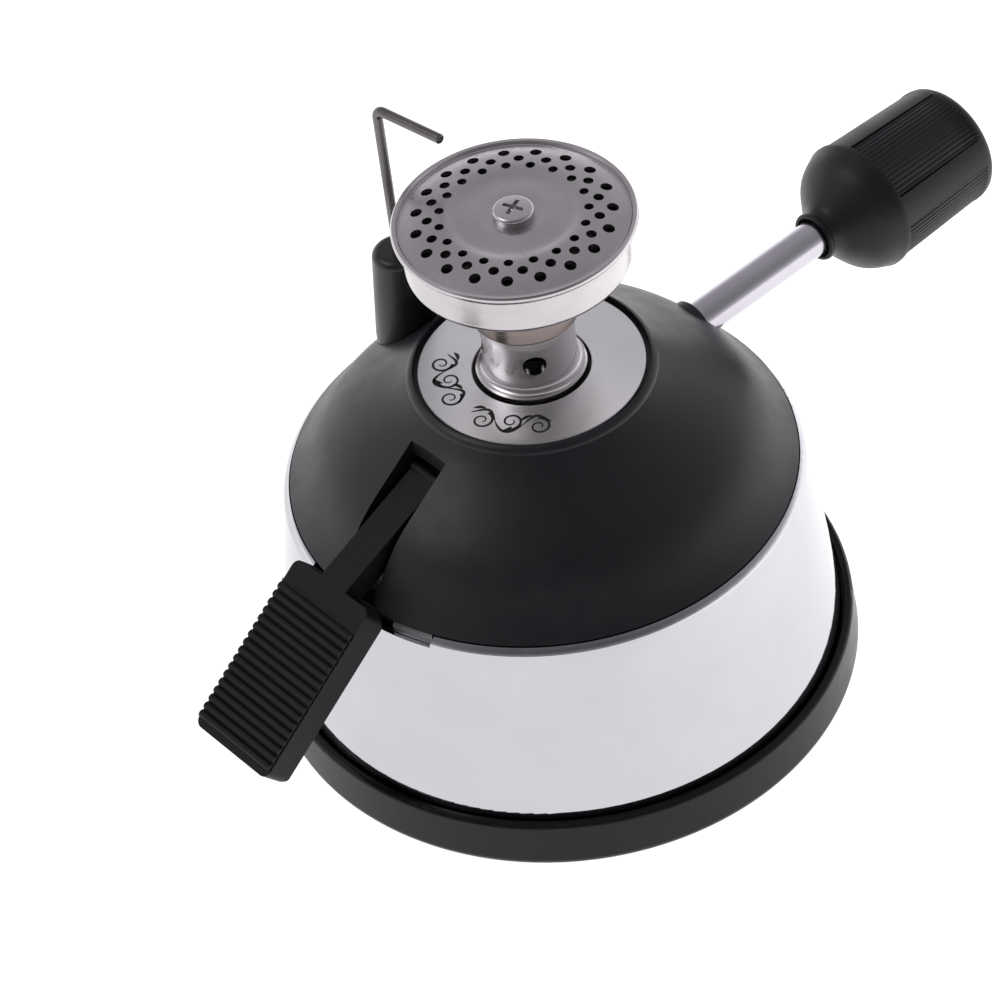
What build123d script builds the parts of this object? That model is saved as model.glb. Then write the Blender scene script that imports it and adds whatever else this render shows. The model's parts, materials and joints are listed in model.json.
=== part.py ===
from build123d import *
from math import cos, radians, sin
import os

# Butane micro burner for a siphon coffee maker. Millimetres, +Z up, standing on z = 0.
# The control rod points along +X, the ignition lever along -X, the spark electrode to about +Y.

# ---- driving dimensions ----
base_r = 47.5            # outer radius of the base tray
ring_top_z = 9.6         # top of the tray's raised outer ring
tray_z = 1.0             # underside of the tray
floor_top_z = 3.4        # top of the tray floor
pad_r = 41.0
pad_top_z = 1.5

skirt_foot_z = 8.0       # the skirt stands in a groove of the tray
skirt_low_r = 44.95      # skirt radius at the ring's top
skirt_slope = 0.1417     # radius lost per millimetre of height
skirt_wall = 0.7
skirt_lip_z = 40.3       # above this the skirt leans in as a bright lip
skirt_top_z = 41.85
notch_y = (-15.3, 9.6)   # cut in the skirt's lip under the lever

dome_r = 39.4            # cover radius at its lower edge
dome_z = 42.0
dome_wall = 2.0
spigot_r = 38.9          # collar of the cover that drops inside the skirt
spigot_z = 36.5
recess_z = 61.1          # floor of the recess for the trim plate
recess_r = 18.1
rim_z = 62.4
collar_hole_r = 12.2

post_ring_r = 34.0       # three screw posts of the cover
post_r = 2.4
post_foot_z = 6.0
post_start_angle = 30
screw_shank_r = 1.4
screw_well_r = 2.9       # screw heads sit up in these wells of the tray
post_pad_r = 3.4

slot_half_width = 3.8    # slot for the lever's arm
slot_end_x = -21.4
slot_corner_r = 2.3      # the slot widens with this radius at the cover's edge
rod_boss_r = 6.0         # boss inside the cover that carries the rod's bushing
bushing_r = 4.2

trim_r = 17.35
trim_hole_r = 9.05
trim_top_z = 61.9

stem_r = 7.15            # burner stem
stem_foot_r = 8.45
stem_low_r = 6.4
stem_seat_z = 51.2
stem_top_z = 77.0
air_hole_r = 1.8
air_hole_z = 67.8
air_hole_angle = 235

cup_r = 17.1             # burner head
cup_wall = 0.9
rim_r = 18.1
rim_top_z = 90.9
ledge_z = 89.9           # ledge of the cup under the flame plate's edge
plate_r = 17.1
plate_thickness = 0.6
dish_r = 9.6             # the plate's middle is pressed down inside this radius
dish_z = 91.2
flame_rings = ((14.4, 0.875, -3.9), (12.6, 0.775, 5.8), (10.95, 0.70, -3.9))   # radius, hole radius, angle
holes_per_ring = 19
head_screw_r = 3.1

valve_z = 47.5           # height of the control rod's axis
valve_base_z = 33.6
rod_r = 3.0
rod_start_x = 19.6
knob_start_x = 60.4
knob_end_x = 92.6
knob_grip_x = 70.8
knob_big_r = 11.2
knob_end_r = 10.4
knob_lobes = 4
lobe_angle = 67.5        # first lobe, measured about the rod from +Y
lobe_half_angle = 13
needle_r = 1.2
valve_screw_y = 9.4      # two screws hold the valve's flange on the tank
valve_flange_r = 12.0
valve_spigot_r = 6.8
feed_x = 4.6             # gas way from the tank into the valve
feed_tube_r = 1.5

tank_r = 30.0
tank_flat_x = -27.0
tank_wall = 1.6
tank_low_z = floor_top_z
tank_seam_z = 18.4
tank_top_z = 33.0
tank_tap_z = 5.5         # lower end of the feed tube

refill_y = -20.0         # refill valve under the tank
refill_well_r = 6.5
refill_well_z = 8.4
refill_body_r = 3.4
refill_flange_r = 5.2

electrode_ring_r = 27.0
electrode_angle = 94
electrode_bend_z = 97.8
electrode_tip_ring_r = 13.6
electrode_tip_z = 98.6
wire_r = 0.78
wire_foot_z = 44.6
post_socket_r = 5.3      # hole of the cover that the electrode's post fills
post_socket_z = 44.0
cable_r = 1.0

pivot_x = -20.0          # lever pivot
pivot_z = 51.5
pivot_pin_r = 1.0
arm_half_width = 2.75
arm_start = (-22.6, 55.3)
pad_start = (-42.3, 46.85)
pad_slope = 37.3         # degrees below the horizon
pad_length = 29.4
pad_width = 16.7
pad_depth = 5.0
rib_pitch = 1.42
rib_first = 4.1
rib_r = 0.6
rib_height = 0.15         # of a rib's centre over the pad's face
rib_inset = 0.2
rib_count = 17

piezo_x = -33.0          # igniter standing under the lever's arm
piezo_size = (7.2, 9.2)
plunger_size = (5.0, 6.4)
piezo_low_z = 12.0
piezo_top_z = 41.0
plunger_low_z = 24.0
plunger_top_z = 45.15
spring_seat_z = 16.0

running_gap = 0.05

os.makedirs("parts", exist_ok=True)


def upright(x=0.0, y=0.0):
    """Vertical sketch plane through (x, y): its first axis is +X, its second +Z."""
    return Plane(origin=(x, y, 0), x_dir=(1, 0, 0), z_dir=(0, -1, 0))


def vertical_axis(x=0.0, y=0.0):
    return Axis((x, y, 0), (0, 0, 1))


def skirt_radius(z):
    return skirt_low_r - (z - ring_top_z) * skirt_slope


def around(radius, angle):
    return radius * cos(radians(angle)), radius * sin(radians(angle))


valve_axis = Axis((0, 0, valve_z), (1, 0, 0))
electrode_xy = around(electrode_ring_r, electrode_angle)

# Outline of the cover from its lower edge to the foot of the rim, and the same line one wall inside it.
dome_line = ((dome_r, dome_z), (36.2, 46.0), (33.2, 50.0), (28.5, 54.0), (23.3, 57.7), (19.2, 61.3))
dome_inside = ((37.1, dome_z), (34.5, 45.0), (31.6, 48.9), (27.3, 52.4), (21.8, 56.2), (17.6, 59.1))
rim_round = ThreePointArc(dome_line[-1], (18.75, 62.05), (recess_r, rim_z))


# ---- base ----
with BuildPart() as base_pad:
    with BuildSketch():
        Circle(pad_r)
        with Locations((0, refill_y)):
            Circle(refill_well_r + 0.5, mode=Mode.SUBTRACT)
        with PolarLocations(post_ring_r, 3, start_angle=post_start_angle):
            Circle(post_pad_r, mode=Mode.SUBTRACT)
    extrude(amount=pad_top_z)
    chamfer(base_pad.edges().group_by(Axis.Z)[0].filter_by(GeomType.CIRCLE).sort_by(SortBy.LENGTH)[-1], 0.4)
base_pad.part.label = "base_pad"
export_step(base_pad.part, "parts/base_pad.step")

with BuildPart() as base_tray:
    with BuildSketch(upright()):
        with BuildLine():
            Polyline((0, floor_top_z), (0, pad_top_z), (pad_r + 0.2, pad_top_z), (pad_r + 0.2, tray_z),
                     (base_r - 1.7, tray_z))
            ThreePointArc((base_r - 1.7, tray_z), (base_r - 0.5, tray_z + 0.45), (base_r, tray_z + 1.6))
            Line((base_r, tray_z + 1.6), (base_r - 0.65, ring_top_z - 0.8))
            ThreePointArc((base_r - 0.65, ring_top_z - 0.8), (base_r - 0.9, ring_top_z - 0.22),
                          (base_r - 1.45, ring_top_z))
            Polyline((base_r - 1.45, ring_top_z), (45.6, ring_top_z), (45.35, ring_top_z - 0.3),
                     (45.35, skirt_foot_z), (44.0, skirt_foot_z), (44.0, ring_top_z), (42.4, ring_top_z),
                     (42.4, floor_top_z), (0, floor_top_z))
        make_face()
    revolve(axis=Axis.Z)
    with BuildSketch(Plane.XY.offset(floor_top_z)):
        with PolarLocations(post_ring_r, 3, start_angle=post_start_angle):
            Circle(post_pad_r)
    extrude(amount=post_foot_z - floor_top_z)
    with BuildSketch(Plane.XY.offset(tray_z)):
        with Locations((0, refill_y)):
            Circle(refill_well_r)
        with PolarLocations(post_ring_r, 3, start_angle=post_start_angle):
            Circle(screw_well_r)
    extrude(amount=2.9, mode=Mode.SUBTRACT)
    with BuildSketch(Plane.XY.offset(tray_z)):
        with PolarLocations(post_ring_r, 3, start_angle=post_start_angle):
            Circle(screw_shank_r + 0.2)
    extrude(amount=post_foot_z, mode=Mode.SUBTRACT)
base_tray.part.label = "base_tray"
export_step(base_tray.part, "parts/base_tray.step")

with BuildPart() as chrome_skirt:
    with BuildSketch(upright()):
        with BuildLine():
            Line((skirt_radius(skirt_foot_z), skirt_foot_z), (skirt_radius(skirt_lip_z), skirt_lip_z))
            ThreePointArc((skirt_radius(skirt_lip_z), skirt_lip_z), (40.25, 41.2), (39.6, skirt_top_z))
            Polyline((39.6, skirt_top_z), (39.25, skirt_top_z - 0.2), (39.6, skirt_lip_z),
                     (skirt_radius(skirt_foot_z) - skirt_wall, skirt_foot_z),
                     (skirt_radius(skirt_foot_z), skirt_foot_z))
        make_face()
    revolve(axis=Axis.Z)
    with BuildSketch(Plane.YZ.offset(-60)):
        with Locations((notch_y[0], skirt_lip_z)):
            Rectangle(notch_y[1] - notch_y[0], 4, align=(Align.MIN, Align.MIN))
    extrude(amount=60, mode=Mode.SUBTRACT)
chrome_skirt.part.label = "chrome_skirt"
export_step(chrome_skirt.part, "parts/chrome_skirt.step")


# ---- top cover ----
with BuildPart() as cover_envelope:
    with BuildSketch(upright()):
        with BuildLine():
            Spline(*dome_line)
            add(rim_round)
            Polyline((recess_r, rim_z), (0, rim_z), (0, 0), (spigot_r - 1.8, 0), (spigot_r - 1.8, dome_z),
                     dome_line[0])
        make_face()
    revolve(axis=Axis.Z)

with BuildPart() as cover_fittings:
    with BuildSketch(Plane.XY.offset(post_foot_z)):
        with PolarLocations(post_ring_r, 3, start_angle=post_start_angle):
            Circle(post_r)
    extrude(amount=dome_z + 6 - post_foot_z)
    with BuildSketch(Plane.XY.offset(post_socket_z + 1.6)):
        with Locations(electrode_xy):
            Circle(post_socket_r + 1.9)
    extrude(amount=12)
    with BuildSketch(Plane.YZ.offset(29)):
        with Locations((0, valve_z)):
            Circle(rod_boss_r)
    extrude(amount=8)
    with Locations((pivot_x, 5.15, pivot_z + 2.6), (pivot_x, -5.15, pivot_z + 2.6)):
        Box(6.5, 2.5, 10.6)

with BuildPart() as top_cover:
    with BuildSketch(upright()):
        with BuildLine():
            Spline(*dome_line)
            add(rim_round)
            Polyline((recess_r, rim_z), (recess_r, recess_z), (collar_hole_r, recess_z),
                     (collar_hole_r, recess_z - dome_wall), dome_inside[-1])
            Spline(*reversed(dome_inside))
            Polyline(dome_inside[0], (spigot_r - 1.8, spigot_z), (spigot_r, spigot_z), (spigot_r, dome_z),
                     dome_line[0])
        make_face()
    revolve(axis=Axis.Z)
    add(cover_fittings.part & cover_envelope.part)
    with BuildSketch(Plane.XY.offset(post_foot_z)):
        with PolarLocations(post_ring_r, 3, start_angle=post_start_angle):
            Circle(screw_shank_r)
    extrude(amount=14, mode=Mode.SUBTRACT)
    with BuildSketch(Plane.XY.offset(post_socket_z)):
        with Locations(electrode_xy):
            Circle(post_socket_r + running_gap)
    extrude(amount=20, mode=Mode.SUBTRACT)
    with BuildSketch(Plane.YZ.offset(28)):
        with Locations((0, valve_z)):
            Circle(bushing_r)
    extrude(amount=5.2, mode=Mode.SUBTRACT)
    with BuildSketch(Plane.YZ.offset(28)):
        with Locations((0, valve_z)):
            Circle(rod_r + 0.25)
    extrude(amount=12, mode=Mode.SUBTRACT)
    with BuildSketch(Plane.YZ.offset(slot_end_x)):
        with Locations((0, dome_z)):
            Rectangle(2 * slot_half_width, 24, align=(Align.CENTER, Align.MIN))
            Rectangle(2 * (slot_half_width + slot_corner_r), slot_corner_r, align=(Align.CENTER, Align.MIN))
        with Locations((slot_half_width + slot_corner_r, dome_z + slot_corner_r),
                       (-slot_half_width - slot_corner_r, dome_z + slot_corner_r)):
            Circle(slot_corner_r, mode=Mode.SUBTRACT)
    extrude(amount=-25, mode=Mode.SUBTRACT)
    with BuildSketch(Plane.XZ.offset(-10)):
        with Locations((pivot_x, pivot_z)):
            Circle(pivot_pin_r)
    extrude(amount=20, mode=Mode.SUBTRACT)
top_cover.part.label = "top_cover"
export_step(top_cover.part, "parts/top_cover.step")

with BuildPart() as trim_plate:
    with BuildSketch(Plane.XY.offset(recess_z)):
        Circle(trim_r)
        Circle(trim_hole_r, mode=Mode.SUBTRACT)
    extrude(amount=trim_top_z - recess_z)
    chamfer(trim_plate.edges().group_by(Axis.Z)[-1], 0.12)
trim_plate.part.label = "trim_plate"
export_step(trim_plate.part, "parts/trim_plate.step")

with BuildPart() as stem_seal:
    with BuildSketch(Plane.XY.offset(59.4)):
        Circle(collar_hole_r - 0.1)
        Circle(stem_low_r + 0.05, mode=Mode.SUBTRACT)
    extrude(amount=1.4)
stem_seal.part.label = "stem_seal"
export_step(stem_seal.part, "parts/stem_seal.step")

with BuildPart() as cover_screws:
    for corner in range(3):
        screw_x, screw_y = around(post_ring_r, post_start_angle + 120 * corner)
        with BuildSketch(upright(screw_x, screw_y)):
            with BuildLine():
                Polyline((0, 2.1), (2.2, 2.1), (2.6, 2.6), (2.6, 3.9), (screw_shank_r, 3.9),
                         (screw_shank_r, 17.0), (0, 18.6), (0, 2.1))
            make_face()
        revolve(axis=vertical_axis(screw_x, screw_y))
        with BuildSketch(Plane.XY.offset(2.1)):
            with Locations((screw_x, screw_y)):
                Rectangle(2.8, 0.7)
                Rectangle(0.7, 2.8)
        extrude(amount=1.0, mode=Mode.SUBTRACT)
cover_screws.part.label = "cover_screws"
export_step(cover_screws.part, "parts/cover_screws.step")


# ---- burner stem and head ----
with BuildPart() as burner_stem:
    with BuildSketch(upright()):
        with BuildLine():
            Polyline((4.25, stem_seat_z), (stem_low_r, stem_seat_z), (stem_low_r, 60.8), (stem_foot_r, 60.8),
                     (stem_foot_r, 62.35), (stem_foot_r - 0.3, 62.6))
            ThreePointArc((stem_foot_r - 0.3, 62.6), (7.45, 63.05), (stem_r, 64.1))
            Polyline((stem_r, 64.1), (stem_r, stem_top_z), (stem_r - 1.2, stem_top_z), (stem_r - 1.2, 57.0),
                     (4.25, 56.2), (4.25, stem_seat_z))
        make_face()
    revolve(axis=Axis.Z)
    with Locations((0, 0, air_hole_z)):
        with PolarLocations(0, 2, start_angle=air_hole_angle, angular_range=180):
            Cylinder(air_hole_r, 20, rotation=(0, 90, 0), mode=Mode.SUBTRACT)
burner_stem.part.label = "burner_stem"
export_step(burner_stem.part, "parts/burner_stem.step")

with BuildPart() as burner_cup:
    with BuildSketch(upright()):
        with BuildLine():
            Polyline((stem_r, 73.0), (8.1, 73.0), (8.25, 73.3), (8.25, 76.2))
            Spline((8.25, 76.2), (9.6, 79.6), (14.9, 82.9))
            ThreePointArc((14.9, 82.9), (16.4, 83.2), (16.8, 84.3))
            Line((16.8, 84.3), (cup_r, 89.0))
            ThreePointArc((cup_r, 89.0), (cup_r + 0.22, 89.55), (rim_r - 0.25, 89.85))
            ThreePointArc((rim_r - 0.25, 89.85), (rim_r, 90.35), (rim_r - 0.25, rim_top_z))
            Polyline((rim_r - 0.25, rim_top_z), (plate_r + 0.25, rim_top_z - 0.05),
                     (plate_r + 0.05, rim_top_z - 0.4),
                     (plate_r + 0.05, ledge_z), (cup_r - cup_wall - 0.1, ledge_z), (16.8 - cup_wall, 84.4))
            Spline((16.8 - cup_wall, 84.4), (9.6, 81.0), (stem_r, stem_top_z + 0.2))
            Line((stem_r, stem_top_z + 0.2), (stem_r, 73.0))
        make_face()
    revolve(axis=Axis.Z)
burner_cup.part.label = "burner_cup"
export_step(burner_cup.part, "parts/burner_cup.step")

plate_line = ((16.7, ledge_z + plate_thickness), (16.2, 90.65), (14.4, 91.15), (12.6, 91.45), (10.95, 91.6))
dish_line = ((dish_r + 0.8, 91.58), (dish_r, 91.46), (dish_r - 0.8, 91.28), (dish_r - 1.8, dish_z),
             (4.0, dish_z))
with BuildPart() as flame_plate:
    with BuildSketch(upright()):
        with BuildLine():
            Line((1.5, dish_z), dish_line[-1])
            Spline(*plate_line, *dish_line)
            Polyline(plate_line[0], (plate_r, ledge_z + plate_thickness), (plate_r, ledge_z), (16.5, ledge_z),
                     (16.2, 90.0), (14.4, 90.5), (10.95, 90.95), (dish_r - 0.1, 90.75),
                     (dish_r - 1.8, dish_z - plate_thickness), (1.5, dish_z - plate_thickness), (1.5, dish_z))
        make_face()
    revolve(axis=Axis.Z)
    for ring_r, hole_r, first_angle in flame_rings:
        with BuildSketch(Plane.XY.offset(ledge_z)):
            with PolarLocations(ring_r, holes_per_ring, start_angle=first_angle):
                Circle(hole_r)
        extrude(amount=4, mode=Mode.SUBTRACT)
flame_plate.part.label = "flame_plate"
export_step(flame_plate.part, "parts/flame_plate.step")

with BuildPart() as flame_screen:
    with BuildSketch(Plane.XY.offset(ledge_z - 0.2)):
        Circle(15.5)
        Circle(1.5, mode=Mode.SUBTRACT)
    extrude(amount=0.3)
flame_screen.part.label = "flame_screen"
export_step(flame_screen.part, "parts/flame_screen.step")

with BuildPart() as head_bridge:
    with BuildSketch(Plane.XY.offset(85.0)):
        Rectangle(31.0, 5.0)
        Circle(3.6)
        Circle(1.45, mode=Mode.SUBTRACT)
    extrude(amount=1.6)
    fillet(head_bridge.edges().filter_by(Axis.Z).group_by(Axis.X)[0], 1.0)
    fillet(head_bridge.edges().filter_by(Axis.Z).group_by(Axis.X)[-1], 1.0)
head_bridge.part.label = "head_bridge"
export_step(head_bridge.part, "parts/head_bridge.step")

with BuildPart() as head_screw:
    with BuildSketch(upright()):
        with BuildLine():
            Line((0, dish_z + 1.6), (0, 84.2))
            Polyline((0, 84.2), (1.0, 84.2), (1.43, 84.7), (1.43, dish_z), (head_screw_r - 0.05, dish_z),
                     (head_screw_r, dish_z + 0.9))
            ThreePointArc((head_screw_r, dish_z + 0.9), (head_screw_r - 0.2, dish_z + 1.25),
                          (head_screw_r - 0.6, dish_z + 1.4))
            ThreePointArc((head_screw_r - 0.6, dish_z + 1.4), (1.2, dish_z + 1.56), (0, dish_z + 1.6))
        make_face()
    revolve(axis=Axis.Z)
    with BuildSketch(Plane.XY.offset(dish_z + 1.7)):
        Rectangle(3.4, 0.7, rotation=20)
        Rectangle(0.7, 3.4, rotation=20)
    extrude(amount=-0.9, taper=12, mode=Mode.SUBTRACT)
head_screw.part.label = "head_screw"
export_step(head_screw.part, "parts/head_screw.step")


# ---- gas valve ----
with BuildPart() as valve_body:
    with BuildSketch(upright()):
        with BuildLine():
            Polyline((0, 30.5), (valve_spigot_r, 30.5), (valve_spigot_r, valve_base_z),
                     (valve_flange_r, valve_base_z), (valve_flange_r, 35.4), (6.4, 35.4), (6.4, stem_seat_z),
                     (4.2, stem_seat_z), (4.2, 56.0), (0, 56.0), (0, 30.5))
        make_face()
    revolve(axis=Axis.Z)
    with BuildSketch(Plane.YZ.offset(4)):
        with Locations((0, valve_z)):
            Circle(3.6)
    extrude(amount=11)
    with BuildSketch(Plane.YZ):
        with Locations((0, valve_z)):
            Circle(0.6)
    extrude(amount=4, mode=Mode.SUBTRACT)
    with BuildSketch(Plane.YZ.offset(3)):
        with Locations((0, valve_z)):
            Circle(needle_r + running_gap)
    extrude(amount=9, mode=Mode.SUBTRACT)
    with BuildSketch(Plane.YZ.offset(11)):
        with Locations((0, valve_z)):
            Circle(2.6)
    extrude(amount=5, mode=Mode.SUBTRACT)
    with BuildSketch(Plane.XY.offset(valve_z)):
        Circle(1.0)
    extrude(amount=9, mode=Mode.SUBTRACT)
    with BuildSketch(Plane.XY.offset(52.6)):
        Circle(1.6)
    extrude(amount=4, mode=Mode.SUBTRACT)
    with BuildSketch(Plane.XY.offset(30.5)):
        with Locations((feed_x, 0)):
            Circle(0.9)
    extrude(amount=valve_z - 30.5, mode=Mode.SUBTRACT)
    with BuildSketch(Plane.XY.offset(30.5)):
        with Locations((feed_x, 0)):
            Circle(feed_tube_r)
    extrude(amount=2.5, mode=Mode.SUBTRACT)
    with BuildSketch(Plane.XY.offset(valve_base_z)):
        with Locations((0, valve_screw_y), (0, -valve_screw_y)):
            Circle(1.25)
    extrude(amount=3, mode=Mode.SUBTRACT)
valve_body.part.label = "valve_body"
export_step(valve_body.part, "parts/valve_body.step")

with BuildPart() as valve_gasket:
    with BuildSketch(Plane.XY.offset(tank_top_z)):
        Circle(valve_flange_r)
        Circle(valve_spigot_r, mode=Mode.SUBTRACT)
        with Locations((0, valve_screw_y), (0, -valve_screw_y)):
            Circle(1.3, mode=Mode.SUBTRACT)
    extrude(amount=valve_base_z - tank_top_z)
valve_gasket.part.label = "valve_gasket"
export_step(valve_gasket.part, "parts/valve_gasket.step")

with BuildPart() as valve_screws:
    for side in (-1, 1):
        with BuildSketch(upright(0, side * valve_screw_y)):
            with BuildLine():
                Line((0, 37.3), (0, 28.5))
                Polyline((0, 28.5), (1.2, 28.5), (1.2, 35.4), (2.3, 35.4), (2.3, 36.6))
                ThreePointArc((2.3, 36.6), (1.4, 37.15), (0, 37.3))
            make_face()
        revolve(axis=vertical_axis(0, side * valve_screw_y))
        with BuildSketch(Plane.XY.offset(37.4)):
            with Locations((0, side * valve_screw_y)):
                Rectangle(2.6, 0.6)
                Rectangle(0.6, 2.6)
        extrude(amount=-0.9, mode=Mode.SUBTRACT)
valve_screws.part.label = "valve_screws"
export_step(valve_screws.part, "parts/valve_screws.step")

with BuildPart() as gas_nozzle:
    with BuildSketch(upright()):
        with BuildLine():
            Polyline((0.25, 52.6), (1.55, 52.6), (1.55, 56.0), (2.7, 56.0), (2.7, 58.0), (1.6, 58.6),
                     (0.9, 60.4), (0.25, 60.4), (0.25, 52.6))
        make_face()
    revolve(axis=Axis.Z)
gas_nozzle.part.label = "gas_nozzle"
export_step(gas_nozzle.part, "parts/gas_nozzle.step")

with BuildPart() as valve_needle:
    with BuildSketch(upright()):
        with BuildLine():
            Polyline((2.4, valve_z), (2.4, valve_z + 0.3), (4.56, valve_z + needle_r),
                     (24.0, valve_z + needle_r), (24.4, valve_z + needle_r - 0.4), (24.4, valve_z),
                     (2.4, valve_z))
        make_face()
    revolve(axis=valve_axis)
valve_needle.part.label = "valve_needle"
export_step(valve_needle.part, "parts/valve_needle.step")

with BuildPart() as needle_o_ring:
    with BuildSketch(upright()):
        with Locations((11.75, valve_z + 1.93)):
            Circle(0.65)
    revolve(axis=valve_axis)
needle_o_ring.part.label = "needle_o_ring"
export_step(needle_o_ring.part, "parts/needle_o_ring.step")

with BuildPart() as gland_nut:
    with BuildSketch(Plane.YZ.offset(12.6)):
        with Locations((0, valve_z)):
            Circle(2.55)
    extrude(amount=2.5)
    with BuildSketch(Plane.YZ.offset(15.05)):
        with Locations((0, valve_z)):
            RegularPolygon(4.9, 6)
    extrude(amount=3.6)
    with BuildSketch(Plane.YZ.offset(12)):
        with Locations((0, valve_z)):
            Circle(needle_r + running_gap)
    extrude(amount=8, mode=Mode.SUBTRACT)
gland_nut.part.label = "gland_nut"
export_step(gland_nut.part, "parts/gland_nut.step")

with BuildPart() as control_rod:
    with BuildSketch(upright()):
        with BuildLine():
            Polyline((rod_start_x, valve_z), (rod_start_x, valve_z + rod_r - 0.4),
                     (rod_start_x + 0.4, valve_z + rod_r), (76.0, valve_z + rod_r),
                     (76.4, valve_z + rod_r - 0.4), (76.4, valve_z), (rod_start_x, valve_z))
        make_face()
    revolve(axis=valve_axis)
    with BuildSketch(Plane.YZ.offset(rod_start_x)):
        with Locations((0, valve_z)):
            Circle(needle_r + running_gap)
    extrude(amount=6.2, mode=Mode.SUBTRACT)
control_rod.part.label = "control_rod"
export_step(control_rod.part, "parts/control_rod.step")

with BuildPart() as knob:
    with BuildSketch(upright()):
        with BuildLine():
            Polyline((knob_start_x + 0.5, valve_z + rod_r), (knob_start_x, valve_z + rod_r + 0.25),
                     (knob_start_x, valve_z + 4.1), (knob_start_x + 0.5, valve_z + 4.2))
            Spline((knob_start_x + 0.5, valve_z + 4.2), (61.6, valve_z + 4.0), (63.0, valve_z + 4.7),
                   (65.0, valve_z + 7.0), (67.6, valve_z + 9.7), (knob_grip_x, valve_z + knob_big_r))
            Line((knob_grip_x, valve_z + knob_big_r), (knob_end_x - 1.4, valve_z + knob_end_r))
            ThreePointArc((knob_end_x - 1.4, valve_z + knob_end_r),
                          (knob_end_x - 0.4, valve_z + knob_end_r - 0.5),
                          (knob_end_x, valve_z + knob_end_r - 1.5))
            Polyline((knob_end_x, valve_z + knob_end_r - 1.5), (knob_end_x, valve_z), (76.4, valve_z),
                     (76.4, valve_z + rod_r), (knob_start_x + 0.5, valve_z + rod_r))
        make_face()
    revolve(axis=valve_axis)
    # Four recessed gripping panels between four smooth lobes.
    with BuildSketch(Plane.YZ.offset(knob_grip_x + 0.6)):
        with Locations((0, valve_z)):
            Circle(knob_big_r + 1)
            Circle(knob_end_r + 0.05, mode=Mode.SUBTRACT)
        for lobe in range(knob_lobes):
            with Locations(Location((0, valve_z), lobe_angle + 360 / knob_lobes * lobe)):
                Polygon((0, 0), around(14, lobe_half_angle), around(14, -lobe_half_angle), align=None,
                        mode=Mode.SUBTRACT)
    extrude(amount=knob_end_x, mode=Mode.SUBTRACT)
knob.part.label = "knob"
export_step(knob.part, "parts/knob.step")

with BuildPart() as rod_bushing:
    with BuildSketch(Plane.YZ.offset(29.2)):
        with Locations((0, valve_z)):
            Circle(bushing_r - running_gap)
            Circle(rod_r + running_gap, mode=Mode.SUBTRACT)
    extrude(amount=3.9)
rod_bushing.part.label = "rod_bushing"
export_step(rod_bushing.part, "parts/rod_bushing.step")


# ---- gas tank ----
def tank_half(low_z, high_z, closed_low):
    """One moulded half of the tank: a round box with a flat side, open at the seam."""
    with BuildPart() as half:
        with BuildSketch(Plane.XY.offset(low_z)):
            Circle(tank_r)
            with Locations((tank_flat_x, 0)):
                Rectangle(20, 2 * tank_r, align=(Align.MAX, Align.CENTER), mode=Mode.SUBTRACT)
        extrude(amount=high_z - low_z)
        with BuildSketch(Plane.XY.offset(low_z + tank_wall if closed_low else low_z)):
            Circle(tank_r - tank_wall)
            with Locations((tank_flat_x + tank_wall, 0)):
                Rectangle(20, 2 * tank_r, align=(Align.MAX, Align.CENTER), mode=Mode.SUBTRACT)
        extrude(amount=high_z - low_z - tank_wall, mode=Mode.SUBTRACT)
    return half.part


lower_shell = tank_half(tank_low_z, tank_seam_z, True)
upper_shell = tank_half(tank_seam_z, tank_top_z, False)

with BuildPart() as tank_lower:
    add(lower_shell)
    with BuildSketch(Plane.XY.offset(tank_low_z)):
        with Locations((0, refill_y)):
            Circle(refill_well_r + tank_wall)
    extrude(amount=refill_well_z + tank_wall - tank_low_z)
    with BuildSketch(Plane.XY.offset(tank_low_z)):
        with Locations((0, refill_y)):
            Circle(refill_well_r)
    extrude(amount=refill_well_z - tank_low_z, mode=Mode.SUBTRACT)
    with BuildSketch(Plane.XY.offset(refill_well_z)):
        with Locations((0, refill_y)):
            Circle(refill_body_r)
    extrude(amount=tank_wall, mode=Mode.SUBTRACT)
tank_lower.part.label = "tank_lower"
export_step(tank_lower.part, "parts/tank_lower.step")

with BuildPart() as tank_upper:
    add(upper_shell)
    with BuildSketch(Plane.XY.offset(27.0)):
        with Locations((0, valve_screw_y), (0, -valve_screw_y)):
            Circle(3.0)
    extrude(amount=tank_top_z - 27.0)
    with BuildSketch(Plane.XY.offset(26.0)):
        Circle(valve_spigot_r)
    extrude(amount=8, mode=Mode.SUBTRACT)
    with BuildSketch(Plane.XY.offset(28.4)):
        with Locations((0, valve_screw_y), (0, -valve_screw_y)):
            Circle(1.2)
    extrude(amount=6, mode=Mode.SUBTRACT)
tank_upper.part.label = "tank_upper"
export_step(tank_upper.part, "parts/tank_upper.step")

with BuildPart() as feed_tube:
    with BuildSketch(Plane.XY.offset(tank_tap_z)):
        with Locations((feed_x, 0)):
            Circle(feed_tube_r)
            Circle(0.8, mode=Mode.SUBTRACT)
    extrude(amount=tank_top_z - tank_tap_z)
feed_tube.part.label = "feed_tube"
export_step(feed_tube.part, "parts/feed_tube.step")


# ---- refill valve ----
with BuildPart() as refill_valve_body:
    with BuildSketch(upright(0, refill_y)):
        with BuildLine():
            Polyline((needle_r + running_gap, 6.9), (refill_flange_r, 6.9), (refill_flange_r, 7.9),
                     (refill_body_r, 7.9), (refill_body_r, 17.0), (0.7, 17.0), (0.7, 16.2), (2.5, 16.2),
                     (2.5, 9.4), (needle_r + running_gap, 9.4), (needle_r + running_gap, 6.9))
        make_face()
    revolve(axis=vertical_axis(0, refill_y))
refill_valve_body.part.label = "refill_valve_body"
export_step(refill_valve_body.part, "parts/refill_valve_body.step")

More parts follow.
